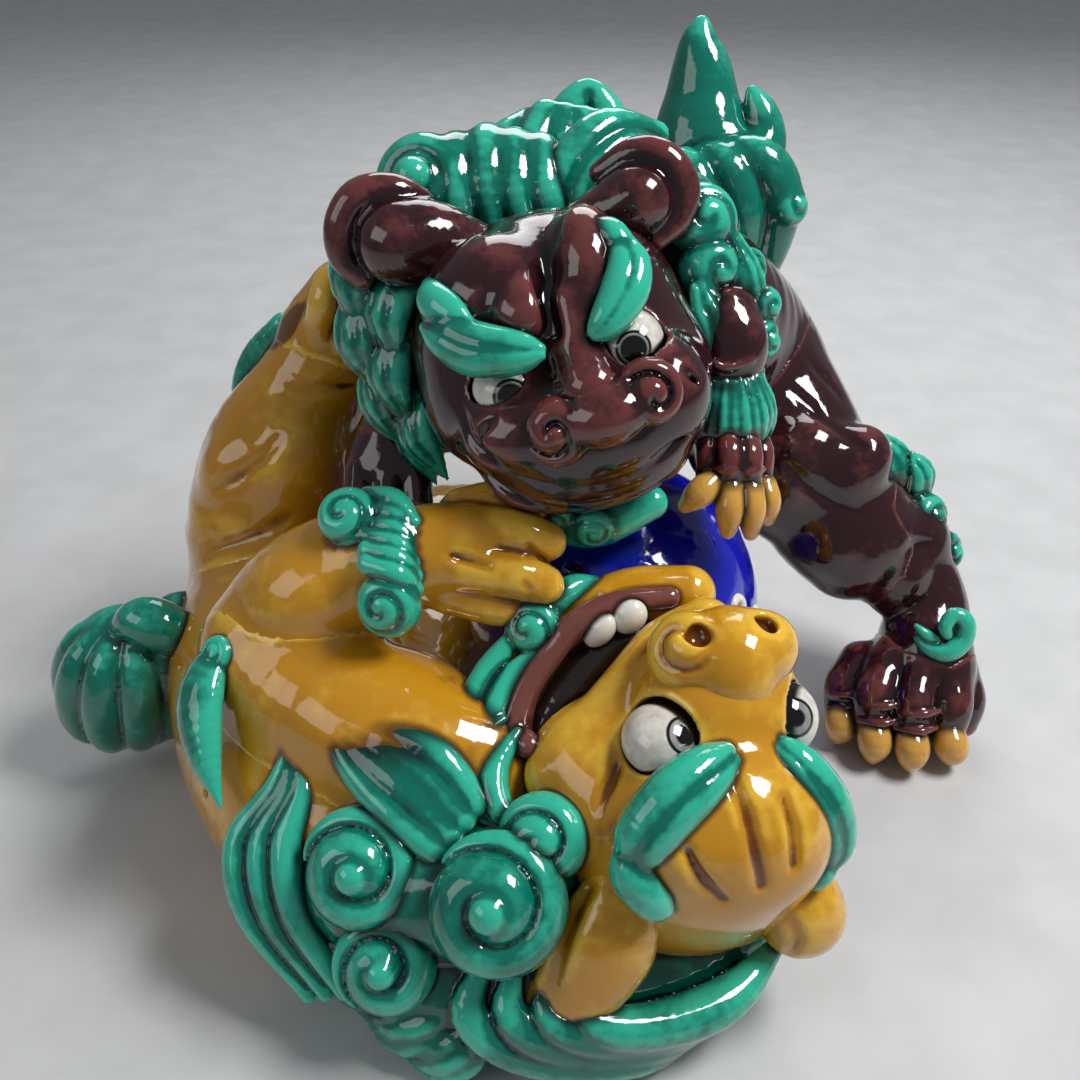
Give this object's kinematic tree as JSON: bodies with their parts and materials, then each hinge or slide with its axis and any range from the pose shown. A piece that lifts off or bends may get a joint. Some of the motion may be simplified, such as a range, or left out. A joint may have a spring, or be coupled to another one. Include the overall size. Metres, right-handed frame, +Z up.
{
  "type": "foo dog statue",
  "caption": "Glazed ceramic group of a standing aubergine lion-dog and an amber lion-dog on its back, playing with a pierced cobalt ball.",
  "frame": {"origin": "middle of the group's footprint, on the table", "axes": "+Z up; -Y towards the viewer, where the upper lion-dog's face looks; +X towards the upper lion-dog's planted hind leg"},
  "size_m": [0.319, 0.2848, 0.2188],
  "materials": {
    "aubergine": "glossy mottled aubergine-brown lead glaze",
    "amber": "glossy amber-yellow glaze that pools brown in the hollows",
    "jade": "glossy turquoise-green glaze, pale on ridges and dark in grooves",
    "cobalt": "glossy cobalt-blue glaze",
    "cream": "glossy cream glaze with black-painted iris on the eyes"
  },
  "bodies": {
    "root": {"amber_cheek_curl": "jade", "amber_cheek_lock": "jade", "amber_flank_leaf": "jade", "amber_head": "amber", "amber_hind_tuft": "jade", "amber_left_brow": "jade", "amber_left_cuff": "jade", "amber_left_ear": "amber", "amber_left_eye": "cream", "amber_left_forearm": "amber", "amber_left_forepaw": "amber", "amber_left_hind_paw": "amber", "amber_left_thigh": "amber", "amber_left_upper_foreleg": "amber", "amber_lower_jaw": "amber", "amber_mane_base": "jade", "amber_mane_curl_front": "jade", "amber_mane_curl_lower": "jade", "amber_mane_curl_outer": "jade", "amber_mane_flame_inner": "jade", "amber_mane_flame_outer": "jade", "amber_nose": "amber", "amber_right_brow": "jade", "amber_right_ear": "amber", "amber_right_eye": "cream", "amber_right_foreleg": "amber", "amber_right_hind_leg": "amber", "amber_tail_ball": "jade", "amber_torso": "amber", "amber_upper_teeth": "cream", "ball_shell": "cobalt", "plum_beard": "jade", "plum_crest_curl": "jade", "plum_crest_middle": "jade", "plum_crest_rear": "jade", "plum_head": "aubergine", "plum_left_brow": "jade", "plum_left_cuff": "jade", "plum_left_ear": "aubergine", "plum_left_elbow_curls": "jade", "plum_left_eye": "cream", "plum_left_forepaw": "aubergine", "plum_left_hind_paw": "aubergine", "plum_left_hock_tuft": "jade", "plum_left_mane": "jade", "plum_left_shank": "aubergine", "plum_left_thigh": "aubergine", "plum_left_upper_foreleg": "aubergine", "plum_nose": "aubergine", "plum_right_brow": "jade", "plum_right_ear": "aubergine", "plum_right_eye": "cream", "plum_right_forepaw": "aubergine", "plum_right_hind_leg": "aubergine", "plum_right_hind_paw": "aubergine", "plum_right_mane": "jade", "plum_right_upper_foreleg": "aubergine", "plum_tail": "jade", "plum_torso": "aubergine"}
  },
  "joints": []
}
